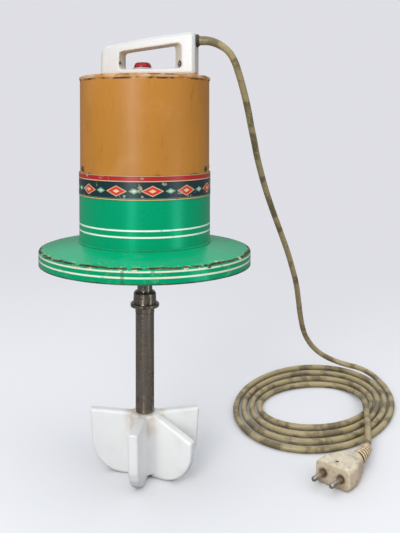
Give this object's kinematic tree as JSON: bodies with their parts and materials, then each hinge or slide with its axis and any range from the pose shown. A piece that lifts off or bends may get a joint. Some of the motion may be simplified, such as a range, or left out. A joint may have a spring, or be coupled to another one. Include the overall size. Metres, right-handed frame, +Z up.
{
  "type": "electric butter churn",
  "caption": "Motor in a two-colour drum on a brimmed lid, with a carrying handle, a push switch and a mains cord, driving a rod with a bladed churning impeller.",
  "frame": {"origin": "on the rod's axis, where the impeller's blades stand", "axes": "+Z up along the rod's axis, +X to the right and -Y towards the viewer of the picture"},
  "size_m": [0.4187, 0.402, 0.439],
  "materials": {
    "tan_paint": "aged semi-gloss paint",
    "green_paint": "glossy paint with white lines, chipped at the edges",
    "band_print": "glossy printed band",
    "white_moulding": "glossy, slightly yellowed",
    "impeller_plastic": "satin moulded plastic",
    "red_plastic": "glossy",
    "black_rubber": "matt",
    "black_plastic": "matt",
    "rusty_steel": "turned steel with brown stains",
    "bright_steel": "bright",
    "dark_steel": "dull and stained",
    "cord_sheath": "satin, grimy",
    "plug_plastic": "satin, scuffed",
    "pin_metal": "polished, worn",
    "laminations": "varnished steel sheets",
    "copper": "varnished wire",
    "cast_aluminium": "cast"
  },
  "bodies": {
    "housing": {"cover_wall": "tan_paint", "cover_top": "tan_paint", "cover_screws": "dark_steel", "joining_ring": "bright_steel", "lower_drum": "green_paint", "trim_band": "band_print", "lid_brim": "green_paint", "lid_skirt": "green_paint", "seal_collar": "green_paint", "shaft_seal": "black_rubber", "handle": "white_moulding", "handle_screws": "bright_steel", "switch_body": "black_plastic", "cord_gland": "black_rubber", "mains_cord": "cord_sheath", "cord_coil": "cord_sheath", "plug_lead": "cord_sheath", "plug_boot": "plug_plastic", "plug_body": "plug_plastic", "plug_pins": "pin_metal", "stator_core": "laminations", "stator_windings": "copper", "lower_end_shield": "cast_aluminium", "upper_end_shield": "cast_aluminium", "motor_bolts": "bright_steel", "lower_bearing": "bright_steel", "upper_bearing": "bright_steel", "capacitor": "cast_aluminium", "capacitor_clamp": "bright_steel"},
    "spindle": {"motor_shaft": "rusty_steel", "rotor_core": "laminations", "rotor_cage": "cast_aluminium", "cooling_fan": "black_plastic", "drive_coupling": "rusty_steel", "grub_screw": "dark_steel", "churn_rod": "rusty_steel", "impeller": "impeller_plastic", "impeller_nut": "dark_steel"},
    "button": {"push_button": "red_plastic"}
  },
  "joints": [
    {"name": "spindle_spin", "type": "hinge", "parent": "housing", "child": "spindle", "pos_m": [0, 0, 0.25], "axis": [0, 0, 1], "continuous": true},
    {"name": "button_press", "type": "slide", "parent": "housing", "child": "button", "axis": [0, 0, -1], "range_m": [0, 0.0025], "stiffness_N_per_m": 400, "springref_m": -0.003}
  ]
}
